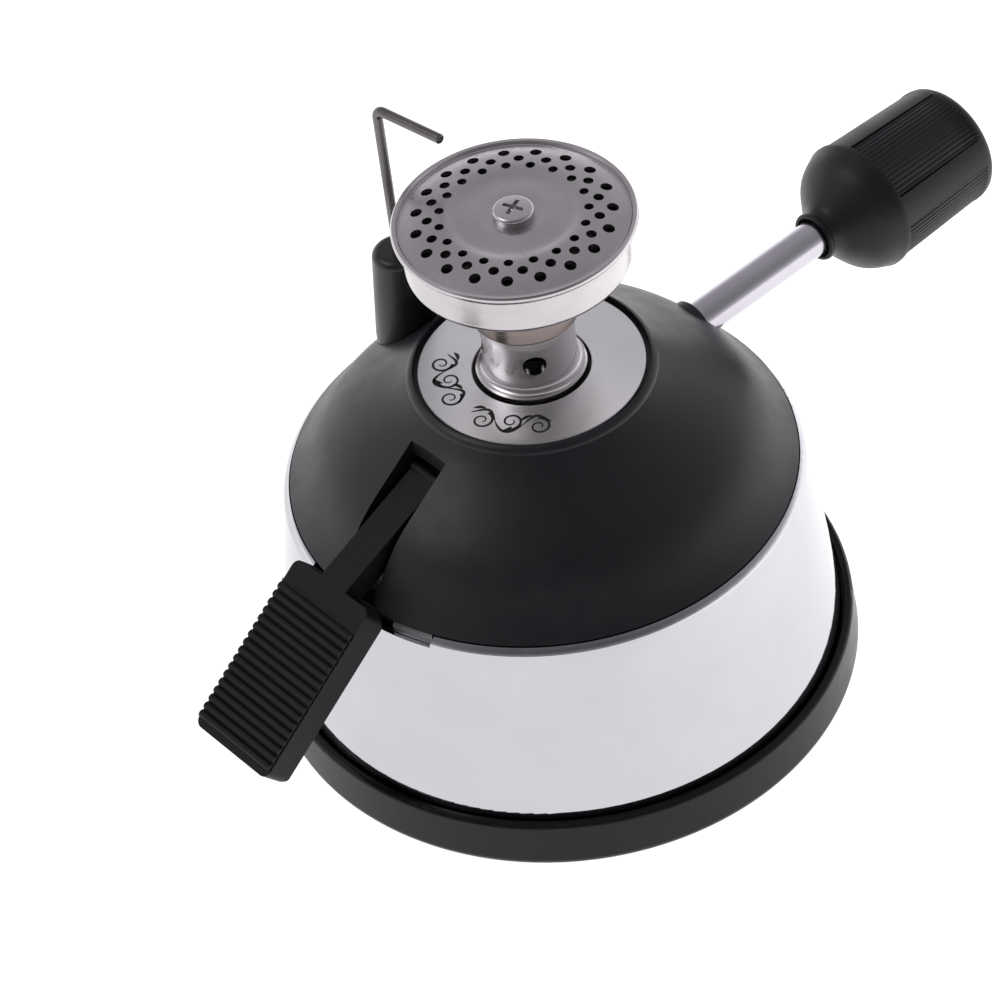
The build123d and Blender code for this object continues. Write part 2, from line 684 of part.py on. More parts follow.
with BuildPart() as refill_valve_seal:
    with BuildSketch(Plane.XY.offset(7.9)):
        with Locations((0, refill_y)):
            Circle(refill_flange_r)
            Circle(refill_body_r, mode=Mode.SUBTRACT)
    extrude(amount=refill_well_z - 7.9)
refill_valve_seal.part.label = "refill_valve_seal"
export_step(refill_valve_seal.part, "parts/refill_valve_seal.step")

with BuildPart() as refill_valve_stem:
    with BuildSketch(upright(0, refill_y)):
        with BuildLine():
            Polyline((0.5, 5.6), (1.0, 5.6), (1.2, 5.8), (1.2, 9.5), (2.3, 9.5), (2.3, 10.4), (0, 10.4),
                     (0, 9.0), (0.5, 9.0), (0.5, 5.6))
        make_face()
    revolve(axis=vertical_axis(0, refill_y))
refill_valve_stem.part.label = "refill_valve_stem"
export_step(refill_valve_stem.part, "parts/refill_valve_stem.step")


def coil_spring(x, y, low_z, high_z, coil_radius, wire_radius, turns):
    """Closed solid of a helical spring between two heights."""
    height = high_z - low_z - 2 * wire_radius
    with BuildPart() as coil:
        with BuildLine() as path:
            Helix(pitch=height / turns, height=height, radius=coil_radius,
                  center=(x, y, low_z + wire_radius))
        with BuildSketch(Plane(origin=path.line @ 0, z_dir=path.line % 0)):
            Circle(wire_radius)
        sweep(is_frenet=True)
    return coil.part


refill_coil = coil_spring(0, refill_y, 10.4, 16.2, 1.7, 0.25, 4.5)
piezo_coil = coil_spring(piezo_x, 0, spring_seat_z, plunger_low_z, 1.9, 0.35, 5)

with BuildPart() as refill_valve_spring:
    add(refill_coil)
refill_valve_spring.part.label = "refill_valve_spring"
export_step(refill_valve_spring.part, "parts/refill_valve_spring.step")


# ---- piezo igniter ----
with BuildPart() as piezo_cradle:
    with BuildSketch(Plane.XY.offset(floor_top_z)):
        with Locations((piezo_x, 0)):
            Rectangle(piezo_size[0] + 2.6, piezo_size[1] + 2.8)
    extrude(amount=18.6)
    with BuildSketch(Plane.XY.offset(piezo_low_z)):
        with Locations((piezo_x, 0)):
            Rectangle(*piezo_size)
    extrude(amount=12, mode=Mode.SUBTRACT)
    with BuildSketch(Plane.XY.offset(floor_top_z)):
        with Locations((piezo_x, 0)):
            Rectangle(piezo_size[0] - 0.8, piezo_size[1] - 0.8)
    extrude(amount=7.0, mode=Mode.SUBTRACT)
piezo_cradle.part.label = "piezo_cradle"
export_step(piezo_cradle.part, "parts/piezo_cradle.step")

cable_exit = (piezo_x + 1.5, piezo_size[1] / 2, 33.4)
with BuildPart() as piezo_body:
    with BuildSketch(Plane.XY.offset(piezo_low_z)):
        with Locations((piezo_x, 0)):
            Rectangle(*piezo_size)
    extrude(amount=piezo_top_z - piezo_low_z)
    fillet(piezo_body.edges().filter_by(Axis.Z), 0.5)
    with BuildSketch(Plane.XY.offset(spring_seat_z)):
        with Locations((piezo_x, 0)):
            Rectangle(plunger_size[0] + 0.2, plunger_size[1] + 0.2)
    extrude(amount=piezo_top_z, mode=Mode.SUBTRACT)
    with BuildSketch(Plane.XZ.offset(-cable_exit[1])):
        with Locations((cable_exit[0], cable_exit[2])):
            Circle(1.8)
    extrude(amount=-1.2)
piezo_body.part.label = "piezo_body"
export_step(piezo_body.part, "parts/piezo_body.step")

with BuildPart() as piezo_plunger:
    with BuildSketch(Plane.XY.offset(plunger_low_z)):
        with Locations((piezo_x, 0)):
            RectangleRounded(*plunger_size, 0.4)
    extrude(amount=plunger_top_z - plunger_low_z)
    chamfer(piezo_plunger.edges().group_by(Axis.Z)[-1], 0.35)
piezo_plunger.part.label = "piezo_plunger"
export_step(piezo_plunger.part, "parts/piezo_plunger.step")

with BuildPart() as piezo_spring:
    add(piezo_coil)
piezo_spring.part.label = "piezo_spring"
export_step(piezo_spring.part, "parts/piezo_spring.step")


# ---- lever ----
slope = radians(pad_slope)
along = (-cos(slope), -sin(slope))      # down the pad, in (x, z)
outward = (-sin(slope), cos(slope))     # out of the pad's face


def on_pad(distance, height=0.0):
    """Point in (x, z) at a distance down the pad and a height above its face."""
    return (pad_start[0] + distance * along[0] + height * outward[0],
            pad_start[1] + distance * along[1] + height * outward[1])


with BuildPart() as lever:
    with BuildSketch(Plane.XZ):
        with BuildLine():
            Polyline(arm_start, pad_start, on_pad(6), on_pad(6, -pad_depth), (-40.6, 43.0),
                     (-33.6, 45.95), (-33.0, 45.3), (-32.4, 46.45), (-26.0, 48.9), (-20.6, 49.2),
                     (-19.0, 52.6), (-21.6, 54.7), arm_start)
        make_face()
    extrude(amount=arm_half_width, both=True)
    with BuildSketch(Plane.XZ):
        with Locations((arm_start[0] + 0.2, arm_start[1] - 0.35)):
            Circle(0.8)
    extrude(amount=arm_half_width, both=True)
    with BuildSketch(Plane.XZ):
        with Locations((pivot_x, pivot_z)):
            Circle(2.3)
    extrude(amount=slot_half_width - 0.15, both=True)
    with BuildSketch(Plane.XZ):
        with BuildLine():
            Polyline(on_pad(0), on_pad(pad_length), on_pad(pad_length, -pad_depth + 0.8),
                     on_pad(pad_length - 0.8, -pad_depth), on_pad(2.0, -pad_depth),
                     on_pad(0, -pad_depth + 1.6), on_pad(0))
        make_face()
    extrude(amount=pad_width / 2, both=True)
    with BuildSketch(Plane(origin=(pad_start[0], 0, pad_start[1]), x_dir=(along[0], 0, along[1]),
                           z_dir=(outward[0], 0, outward[1]))):
        Rectangle(pad_length, pad_width, align=(Align.MIN, Align.CENTER))
        with Locations((pad_length / 2, 0)):
                RectangleRounded(pad_length, pad_width, 1.4, mode=Mode.SUBTRACT)
    extrude(amount=-pad_depth * 2, both=True, mode=Mode.SUBTRACT)
    for rib in range(rib_count):
        rib_x, rib_z = on_pad(rib_first + rib_pitch * (rib + 0.5), rib_height)
        with BuildSketch(Plane.XZ):
            with Locations((rib_x, rib_z)):
                Circle(rib_r)
        extrude(amount=pad_width / 2 - rib_inset, both=True)
    with BuildSketch(Plane.XZ):
        with Locations((pivot_x, pivot_z)):
            Circle(pivot_pin_r + running_gap)
    extrude(amount=6, both=True, mode=Mode.SUBTRACT)
lever.part.label = "lever"
export_step(lever.part, "parts/lever.step")

with BuildPart() as lever_pin:
    with BuildSketch(Plane.XZ):
        with Locations((pivot_x, pivot_z)):
            Circle(pivot_pin_r)
    extrude(amount=6.4, both=True)
    chamfer(lever_pin.edges(), 0.2)
lever_pin.part.label = "lever_pin"
export_step(lever_pin.part, "parts/lever_pin.step")


# ---- spark electrode ----
post_x, post_y = electrode_xy
with BuildPart() as electrode_post:
    with BuildSketch(upright(post_x, post_y)):
        with BuildLine():
            Polyline((0, 41.0), (2.2, 41.0), (2.6, post_socket_z), (6.2, post_socket_z),
                     (6.2, post_socket_z + 1.6), (post_socket_r, post_socket_z + 1.6), (post_socket_r, 54.5),
                     (4.15, 69.4))
            ThreePointArc((4.15, 69.4), (3.8, 70.35), (2.9, 70.8))
            Polyline((2.9, 70.8), (0, 70.8), (0, 41.0))
        make_face()
    revolve(axis=vertical_axis(post_x, post_y))
    with BuildSketch(Plane.XY.offset(40)):
        with Locations((post_x, post_y)):
            Circle(wire_r)
    extrude(amount=32, mode=Mode.SUBTRACT)
    with BuildSketch(Plane.XY.offset(40)):
        with Locations((post_x, post_y)):
            Circle(cable_r + running_gap)
    extrude(amount=wire_foot_z - 40, mode=Mode.SUBTRACT)
electrode_post.part.label = "electrode_post"
export_step(electrode_post.part, "parts/electrode_post.step")

tip_x, tip_y = around(electrode_tip_ring_r, electrode_angle)
with BuildPart() as electrode_wire:
    with BuildLine() as wire_path:
        FilletPolyline((post_x, post_y, wire_foot_z), (post_x, post_y, electrode_bend_z),
                       (tip_x, tip_y, electrode_tip_z), radius=1.5)
    with BuildSketch(Plane.XY.offset(wire_foot_z)):
        with Locations((post_x, post_y)):
            Circle(wire_r)
    sweep(path=wire_path.wire())
    fillet(electrode_wire.edges().sort_by(Axis.Y)[0], 0.3)
electrode_wire.part.label = "electrode_wire"
export_step(electrode_wire.part, "parts/electrode_wire.step")

with BuildPart() as ignition_cable:
    with BuildLine() as cable_path:
        FilletPolyline((cable_exit[0], cable_exit[1] + 1.2, cable_exit[2]),
                       (cable_exit[0], 10.5, cable_exit[2]),
                       (-24.0, 15.0, 36.2), (-12.5, 23.0, 36.4), (post_x, post_y, 37.0),
                       (post_x, post_y, wire_foot_z - 0.1), radius=2.6)
    with BuildSketch(Plane(origin=cable_path.wire() @ 0, z_dir=cable_path.wire() % 0)):
        Circle(cable_r)
    sweep(path=cable_path.wire())
ignition_cable.part.label = "ignition_cable"
export_step(ignition_cable.part, "parts/ignition_cable.step")
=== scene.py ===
"""The looks of a siphon coffee maker's butane burner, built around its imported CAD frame.

Metres, +Z up, the control rod along +X and the lever along -X. Outlines are in millimetres and pass
through mm() on their way into a mesh. Grain sizes, bump depths and lamps are in metres.
"""

import json
from math import cos, pi, radians, sin

import bmesh
import bpy
from mathutils import Matrix, Vector


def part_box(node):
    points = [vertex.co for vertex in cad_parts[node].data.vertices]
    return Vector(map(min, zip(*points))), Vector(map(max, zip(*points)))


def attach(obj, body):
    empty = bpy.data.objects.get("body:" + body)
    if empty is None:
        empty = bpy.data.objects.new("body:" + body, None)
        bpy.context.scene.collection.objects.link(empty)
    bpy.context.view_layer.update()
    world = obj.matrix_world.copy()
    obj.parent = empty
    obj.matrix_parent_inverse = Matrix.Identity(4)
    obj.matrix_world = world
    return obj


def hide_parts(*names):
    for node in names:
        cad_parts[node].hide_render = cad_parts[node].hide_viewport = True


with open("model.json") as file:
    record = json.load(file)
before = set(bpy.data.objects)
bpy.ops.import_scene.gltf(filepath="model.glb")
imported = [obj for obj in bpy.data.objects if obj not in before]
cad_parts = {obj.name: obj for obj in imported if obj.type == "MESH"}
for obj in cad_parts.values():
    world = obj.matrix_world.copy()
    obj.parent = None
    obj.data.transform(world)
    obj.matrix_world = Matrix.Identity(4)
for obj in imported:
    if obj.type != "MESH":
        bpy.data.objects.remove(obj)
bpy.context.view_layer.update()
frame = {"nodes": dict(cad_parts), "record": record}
nodes = frame["nodes"]


# ---------------------------------------------------------------- sizes, in millimetres
def mm(*values):
    """Millimetres to metres."""
    return Vector(values) * 0.001


def node_box(node):
    """(lowest corner, highest corner) of a CAD node in millimetres."""
    low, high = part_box(node)
    return low * 1000, high * 1000


trim_top = node_box("trim_plate")[1].z
rod_low, rod_high = node_box("control_rod")
rod_z = (rod_low.z + rod_high.z) / 2
rod_r = (rod_high.z - rod_low.z) / 2
knob_start = node_box("knob")[0].x
knob_length = node_box("knob")[1].x - knob_start


# ---------------------------------------------------------------- outlines
def curve_through(points, steps):
    """Points along a smooth curve through the given ones, which are kept."""
    line = [Vector(p) for p in points]
    line = [line[0] * 2 - line[1], *line, line[-1] * 2 - line[-2]]
    made = []
    for a, b, c, d in zip(line, line[1:], line[2:], line[3:]):
        for step in range(steps):
            t = step / steps
            made.append(0.5 * (2 * b + (c - a) * t + (2 * a - 5 * b + 4 * c - d) * t**2
                               + (3 * b - a - 3 * c + d) * t**3))
    made.append(line[-2])
    return [tuple(p) for p in made]


# ---------------------------------------------------------------- meshes
def new_object(name, mesh_data, smooth_angle=32):
    """Turns a bmesh into a shaded object."""
    bmesh.ops.recalc_face_normals(mesh_data, faces=mesh_data.faces)
    mesh = bpy.data.meshes.new(name)
    mesh_data.to_mesh(mesh)
    mesh_data.free()
    mesh.shade_smooth()
    mesh.set_sharp_from_angle(angle=radians(smooth_angle))
    made = bpy.data.objects.new(name, mesh)
    bpy.context.scene.collection.objects.link(made)
    return made


def bridge(mesh_data, lower, upper):
    """Faces between two closed rows of vertices; a row of one vertex is a pole."""
    count = max(len(lower), len(upper))
    for i in range(count):
        j = (i + 1) % count
        corners = [lower[i % len(lower)], lower[j % len(lower)], upper[j % len(upper)], upper[i % len(upper)]]
        kept = [v for k, v in enumerate(corners) if v not in corners[:k]]
        if len(kept) > 2:
            mesh_data.faces.new(kept)


def strip(mesh_data, path, widths, low, high):
    """A flat ribbon along a path of (x, y) points, closed on all sides, in millimetres."""
    rings = []
    for i, width in enumerate(widths):
        here = Vector(path[i])
        ahead = Vector(path[min(i + 1, len(path) - 1)]) - Vector(path[max(i - 1, 0)])
        across = Vector((-ahead.y, ahead.x)).normalized() * width / 2
        left = here + across
        right = here - across
        corners = [(left, low), (right, low), (right, high), (left, high)]
        rings.append([mesh_data.verts.new(mm(side.x, side.y, z)) for side, z in corners])
    for before, after in zip(rings, rings[1:]):
        bridge(mesh_data, before, after)
    mesh_data.faces.new(rings[0])
    mesh_data.faces.new(rings[-1])


def swept(name, outline, first, last):
    """A closed (radius, height) outline swept round the upright axis between two angles."""
    mesh_data = bmesh.new()
    rows = []
    steps = 40
    for step in range(steps + 1):
        turn = radians(first + (last - first) * step / steps)
        rows.append([mesh_data.verts.new(mm(r * cos(turn), r * sin(turn), z)) for r, z in outline])
    for before, after in zip(rows, rows[1:]):
        bridge(mesh_data, before, after)
    mesh_data.faces.new(rows[0])
    mesh_data.faces.new(rows[-1])
    return new_object(name, mesh_data)


def set_in(made, body, slot, *replaced):
    """Rides on a body and stands for CAD nodes, which it hides; the slot argument is not used."""
    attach(made, body)
    if replaced:
        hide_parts(*replaced)
    return made


# ---------------------------------------------------------------- materials
noise_roughness = 0.55
noise_low = 0.3          # a noise signal from here to noise_high covers the whole range of tones or gloss
noise_high = 0.7
plastic_clouds = 60      # patches of tone per metre
plastic_gloss = 240      # patches of gloss per metre
gloss_swing = 0.04
steel_clouds = 90        # patches of tone per metre
steel_gloss = (0.75, 1.3)  # least and most roughness, as shares of the one that is asked for
ring_marks = 5200        # rings per metre of radius
reflection_full_z = 76.2      # heights in millimetres between which the cup's painted brown reflection fades out
reflection_end_z = 78.5

# stretch along x, y and z, marks per metre and their detail
mark_patterns = {
    "turned": ((0.02, 0.02, 1), 5200, 3),
    "round_rod": ((1, 0.02, 0.02), 4200, 3),
    "none": ((1, 1, 1), 1500, 5),
}


def link(tree, source, output, target, socket):
    """Joins one node's output to another's input."""
    tree.links.new(source.outputs[output], target.inputs[socket])


def place(tree, stretch=(1, 1, 1)):
    """Object coordinates stretched along their axes."""
    coordinates = tree.nodes.new("ShaderNodeTexCoord")
    mapping = tree.nodes.new("ShaderNodeMapping")
    mapping.inputs["Scale"].default_value = stretch
    link(tree, coordinates, "Object", mapping, "Vector")
    return mapping


def radius_of(tree):
    """Distance from the upright axis, as a vector that varies only with that distance."""
    coordinates = place(tree, (1, 1, 0))
    length = tree.nodes.new("ShaderNodeVectorMath")
    length.operation = "LENGTH"
    combine = tree.nodes.new("ShaderNodeCombineXYZ")
    link(tree, coordinates, "Vector", length, 0)
    link(tree, length, "Value", combine, "X")
    return combine


def noise(tree, coordinates, scale, detail):
    """A noise texture of so many features per metre."""
    texture = tree.nodes.new("ShaderNodeTexNoise")
    texture.inputs["Scale"].default_value = scale
    texture.inputs["Detail"].default_value = detail
    texture.inputs["Roughness"].default_value = noise_roughness
    link(tree, coordinates, "Vector", texture, "Vector")
    return texture


def spread(tree, source, output, low, high, start=noise_low, end=noise_high):
    """Maps a signal between start and end onto low to high."""
    mapped = tree.nodes.new("ShaderNodeMapRange")
    mapped.inputs["From Min"].default_value = start
    mapped.inputs["From Max"].default_value = end
    mapped.inputs["To Min"].default_value = low
    mapped.inputs["To Max"].default_value = high
    link(tree, source, output, mapped, "Value")
    return mapped


def blended(tree, source, output, first, second):
    """Colour between two tones by a noise signal."""
    ramp = tree.nodes.new("ShaderNodeValToRGB")
    first_stop, second_stop = ramp.color_ramp.elements
    first_stop.position = noise_low
    second_stop.position = noise_high
    first_stop.color = (*first, 1)
    second_stop.color = (*second, 1)
    link(tree, source, output, ramp, "Fac")
    return ramp


def bump(tree, source, output, distance):
    """Surface relief that is so deep."""
    node = tree.nodes.new("ShaderNodeBump")
    node.inputs["Strength"].default_value = 1.0
    node.inputs["Distance"].default_value = distance
    link(tree, source, output, node, "Height")
    return node


def blank(name, metallic):
    """A new material, its node tree and its shader."""
    material = bpy.data.materials.new(name)
    material.use_nodes = True
    tree = material.node_tree
    shader = tree.nodes["Principled BSDF"]
    shader.inputs["Metallic"].default_value = metallic
    return material, tree, shader


def plastic(name, dark, light, roughness, grain=0.00022, depth=0.000012, specular=0.5):
    """Moulded plastic: a faint two-tone body, spark-eroded grain and uneven gloss."""
    material, tree, shader = blank(name, 0)
    shader.inputs["Specular IOR Level"].default_value = specular
    coordinates = place(tree)
    clouds = noise(tree, coordinates, plastic_clouds, 4)
    link(tree, blended(tree, clouds, "Fac", dark, light), "Color", shader, "Base Color")
    fine = noise(tree, coordinates, 1 / grain, 2)
    uneven = noise(tree, coordinates, plastic_gloss, 3)
    gloss = spread(tree, uneven, "Fac", roughness - gloss_swing, roughness + gloss_swing)
    link(tree, gloss, "Result", shader, "Roughness")
    link(tree, bump(tree, fine, "Fac", depth), "Normal", shader, "Normal")
    return material


def steel(name, first, second, roughness, lines="turned", line_depth=0.0000012, anisotropic=0.0):
    """Steel, brass or chrome. Lines run round the upright axis, round the rod, in rings or nowhere."""
    material, tree, shader = blank(name, 1)
    clouds = noise(tree, place(tree), steel_clouds, 4)
    link(tree, blended(tree, clouds, "Fac", first, second), "Color", shader, "Base Color")
    if lines == "rings":
        marks = noise(tree, radius_of(tree), ring_marks, 4)
    else:
        stretch, scale, detail = mark_patterns[lines]
        marks = noise(tree, place(tree, stretch), scale, detail)
    gloss = spread(tree, marks, "Fac", roughness * steel_gloss[0], roughness * steel_gloss[1])
    link(tree, gloss, "Result", shader, "Roughness")
    if line_depth:
        link(tree, bump(tree, marks, "Fac", line_depth), "Normal", shader, "Normal")
    if anisotropic:
        shader.inputs["Anisotropic"].default_value = anisotropic
        tangent = tree.nodes.new("ShaderNodeTangent")
        tangent.direction_type = "RADIAL"
        tangent.axis = "Z"
        link(tree, tangent, "Tangent", shader, "Tangent")
    return material


def burner_steel(name):
    """The turned stainless steel of the stem, the cup and the head screw."""
    return steel(name, (0.57, 0.535, 0.555), (0.66, 0.625, 0.645), 0.22, "turned", 0.0000008, 0.5)


def painted_reflection_band(material, low_z, high_z, reflected_tone):
    """Painted reflection: browns and darkens a steel below high_z, fully under low_z, in place of the dark
    reflection that the cup's neck shows.
    """
    tree = material.node_tree
    shader = tree.nodes["Principled BSDF"]
    own_colour = shader.inputs["Base Color"].links[0].from_socket
    height = tree.nodes.new("ShaderNodeSeparateXYZ")
    link(tree, place(tree), "Vector", height, "Vector")
    share = spread(tree, height, "Z", 0, 1, low_z * 0.001, high_z * 0.001)
    mixed = tree.nodes.new("ShaderNodeMix")
    mixed.data_type = "RGBA"
    mixed.inputs["A"].default_value = (*reflected_tone, 1)
    link(tree, share, "Result", mixed, "Factor")
    tree.links.new(own_colour, mixed.inputs["B"])
    tree.links.new(mixed.outputs["Result"], shader.inputs["Base Color"])
    return material


black_cover = plastic("black_cover", (0.0085, 0.0085, 0.0125), (0.0118, 0.0118, 0.0165), 0.41)
black_ring = plastic("black_ring", (0.008, 0.008, 0.0095), (0.012, 0.012, 0.014), 0.30,
                     0.0003, 0.000008, 0.25)
black_lever = plastic("black_lever", (0.009, 0.009, 0.011), (0.0125, 0.0125, 0.015), 0.42, specular=0.19)
black_knob = plastic("black_knob", (0.010, 0.010, 0.0135), (0.014, 0.014, 0.018), 0.42, specular=0.36)
black_post = plastic("black_post", (0.007, 0.007, 0.0085), (0.011, 0.011, 0.0125), 0.34)
black_pad = plastic("black_pad", (0.012, 0.012, 0.013), (0.020, 0.020, 0.022), 0.75, 0.0006, 0.00004)
black_seal = plastic("black_seal", (0.003, 0.003, 0.003), (0.006, 0.006, 0.006), 0.6)
dark_etch = plastic("dark_etch", (0.022, 0.021, 0.023), (0.05, 0.047, 0.05), 0.55, specular=0.2)
ivory = plastic("ivory", (0.55, 0.52, 0.45), (0.62, 0.59, 0.52), 0.45)
milky = plastic("milky", (0.62, 0.62, 0.58), (0.70, 0.70, 0.66), 0.35)
dark_shell = plastic("dark_shell", (0.02, 0.02, 0.022), (0.035, 0.035, 0.037), 0.3)
red_silicone = plastic("red_silicone", (0.22, 0.012, 0.010), (0.28, 0.02, 0.015), 0.5)

skirt_chrome = steel("skirt_chrome", (0.57, 0.57, 0.60), (0.60, 0.60, 0.635), 0.045, "none", 0)
head_steel = burner_steel("head_steel")
# painted reflection: the cup is painted browner and darker below its neck, standing in for the dark
# reflection seen there
cup_steel = painted_reflection_band(burner_steel("cup_steel"), reflection_full_z, reflection_end_z, (0.27, 0.225, 0.215))
plate_steel = steel("plate_steel", (0.475, 0.452, 0.475), (0.56, 0.537, 0.56), 0.28, "none", 0.0000002)
trim_steel = steel("trim_steel", (0.90, 0.90, 0.91), (0.96, 0.96, 0.965), 0.32, "rings", 0.0000012, 0.6)
screw_steel = steel("screw_steel", (0.29, 0.245, 0.24), (0.38, 0.33, 0.325), 0.38, "rings")
rod_steel = steel("rod_steel", (0.55, 0.525, 0.575), (0.62, 0.595, 0.65), 0.20, "round_rod", 0.000001)
wire_steel = steel("wire_steel", (0.14, 0.13, 0.135), (0.22, 0.205, 0.21), 0.30, "none", 0.000002)
screen_steel = steel("screen_steel", (0.06, 0.055, 0.055), (0.11, 0.10, 0.10), 0.5, "none", 0.00002)
valve_brass = steel("valve_brass", (0.66, 0.48, 0.22), (0.74, 0.56, 0.28), 0.25, "turned")
stop_steel = steel("stop_steel", (0.15, 0.15, 0.155), (0.20, 0.20, 0.205), 0.42, "none", 0)
sooty_brass = steel("sooty_brass", (0.030, 0.024, 0.016), (0.06, 0.046, 0.028), 0.5, "turned")

slot_materials = {
    "base_rubber": black_pad, "base_plastic": black_ring, "skirt_chrome": skirt_chrome,
    "cover_plastic": black_cover, "trim_steel": trim_steel, "seal_rubber": black_seal,
    "screw_steel": screw_steel, "head_steel": head_steel, "plate_steel": plate_steel,
    "screen_steel": screen_steel, "valve_brass": valve_brass, "rod_steel": rod_steel,
    "knob_plastic": black_knob, "tank_plastic": milky, "tube_plastic": milky,
    "spring_steel": screw_steel, "piezo_plastic": dark_shell, "plunger_plastic": ivory,
    "lever_plastic": black_lever, "wire_steel": wire_steel, "cable_rubber": red_silicone,
    "post_plastic": black_post,
}


def paint(made, material):
    """Gives an object its only material."""
    made.data.materials.clear()
    made.data.materials.append(material)
    return made


for part in frame["record"]["subparts"]:
    paint(nodes[part["node"]], slot_materials[part["material_slot"]])
paint(nodes["gas_nozzle"], sooty_brass)
paint(nodes["burner_cup"], cup_steel)


# ---------------------------------------------------------------- camera, light and floor
camera_place = mm(-242.68, -306.18, 417.28)
camera_right = Vector((0.7317, -0.6750, -0.0951))
camera_away = Vector((0.4329, 0.5678, -0.7001))
camera_lens = 126.2

key_azimuth = 146
key_elevation = 52
key_distance = 1.3
key_size = 0.6
key_power = 2.6

# the studio's tone by height, from the horizon at 0 to overhead at 1
sky_tones = [(0.0, (1.3, 1.3, 1.33)), (0.12, (1.15, 1.15, 1.18)), (0.32, (0.62, 0.61, 0.64)),
             (0.55, (0.45, 0.44, 0.46)), (1.0, (0.38, 0.37, 0.39))]
away_from_camera = (0.606, 0.795, 0)
camera_side_tone = 0.25  # share of the studio's tone that is left on the camera's side

floor_radius = 6
floor_glow = (1.0, 1.36)  # least and most, reached between these places along X in metres
glow_places = (-0.04, 0.12)


def make_camera():
    """The photograph's viewpoint: high over the lever's side, a little rolled."""
    right = camera_right.normalized()
    away = camera_away.normalized()
    up = right.cross(away).normalized()
    data = bpy.data.cameras.new("camera")
    data.lens = camera_lens
    data.sensor_width = 36
    data.clip_start = 0.02
    data.clip_end = 20
    camera = bpy.data.objects.new("camera", data)
    turn = Matrix((right, up, -away)).transposed().to_4x4()
    camera.matrix_world = Matrix.Translation(camera_place) @ turn
    bpy.context.scene.collection.objects.link(camera)
    bpy.context.scene.camera = camera


def direction(azimuth, elevation):
    """Unit vector: azimuth from +X towards +Y, elevation above the floor, in degrees."""
    turn = radians(azimuth)
    rise = radians(elevation)
    return Vector((cos(turn) * cos(rise), sin(turn) * cos(rise), sin(rise)))


def make_key_light():
    """A square softbox high up between the lever's side and the electrode's, aimed at the burner."""
    data = bpy.data.lights.new("key", "AREA")
    data.shape = "RECTANGLE"
    data.size = key_size
    data.size_y = key_size
    data.energy = key_power
    lamp = bpy.data.objects.new("key", data)
    aim = mm(0, 0, 50)
    lamp.location = aim + direction(key_azimuth, key_elevation) * key_distance
    lamp.rotation_mode = "QUATERNION"
    lamp.rotation_quaternion = (aim - lamp.location).to_track_quat("-Z", "Y")
    bpy.context.scene.collection.objects.link(lamp)


def make_world():
    """A studio that is white at the horizon and grey overhead, darker on the camera's side."""
    world = bpy.data.worlds.new("studio")
    bpy.context.scene.world = world
    world.use_nodes = True
    tree = world.node_tree
    background = tree.nodes["Background"]
    coordinates = tree.nodes.new("ShaderNodeTexCoord")
    split = tree.nodes.new("ShaderNodeSeparateXYZ")
    link(tree, coordinates, "Generated", split, "Vector")
    by_height = tree.nodes.new("ShaderNodeValToRGB")
    stops = by_height.color_ramp.elements
    horizon, *between, overhead = sky_tones
    for stop, (position, tone) in zip(stops, (horizon, overhead)):
        stop.position = position
        stop.color = (*tone, 1)
    for position, tone in between:
        stops.new(position).color = (*tone, 1)
    link(tree, split, "Z", by_height, "Fac")
    side = tree.nodes.new("ShaderNodeVectorMath")
    side.operation = "DOT_PRODUCT"
    side.inputs[1].default_value = away_from_camera
    link(tree, coordinates, "Generated", side, 0)
    share = spread(tree, side, "Value", camera_side_tone, 1.0, -0.8, 0.4)
    product = tree.nodes.new("ShaderNodeVectorMath")
    product.operation = "SCALE"
    link(tree, by_height, "Color", product, 0)
    link(tree, share, "Result", product, "Scale")
    link(tree, product, "Vector", background, "Color")
    background.inputs["Strength"].default_value = 1.0


def make_floor():
    """A wide disc that is white by itself, a little brighter towards the knob's side."""
    mesh_data = bmesh.new()
    bmesh.ops.create_circle(mesh_data, cap_ends=True, segments=96, radius=floor_radius)
    bmesh.ops.translate(mesh_data, verts=mesh_data.verts, vec=mm(0, 0, -0.2))
    floor = new_object("floor", mesh_data)
    material, tree, shader = blank("floor", 0)
    shader.inputs["Base Color"].default_value = (0.20, 0.20, 0.205, 1)
    shader.inputs["Roughness"].default_value = 0.9
    shader.inputs["Specular IOR Level"].default_value = 0.0
    shader.inputs["Emission Color"].default_value = (1, 1, 1, 1)
    along = tree.nodes.new("ShaderNodeSeparateXYZ")
    link(tree, place(tree), "Vector", along, "Vector")
    strength = spread(tree, along, "X", *floor_glow, *glow_places)
    link(tree, strength, "Result", shader, "Emission Strength")
    paint(floor, material)


make_camera()
make_world()
make_floor()
make_key_light()
bpy.context.scene.view_settings.view_transform = "Standard"


# ---------------------------------------------------------------- knob
# places along the knob are distances from its mouth
bore_depth = rod_high.x - knob_start
bore_r = rod_r + 0.03
panel_start = 11.0
panel_end = 30.0
panel_fade = 0.55        # share of a panel's depth that is lost along it
groove_depth = 0.50
rib_height = 0.22
ribs_per_panel = 15
rib_steps = 6
ribbed_r = 10            # narrower rings belong to the bore, which has no ribs
lobes = 4
lobe_middle = 67.5
lobe_half = 13.0
lobe_steps = 12
lobe_edge = 0.15         # degrees between a lobe and its panel


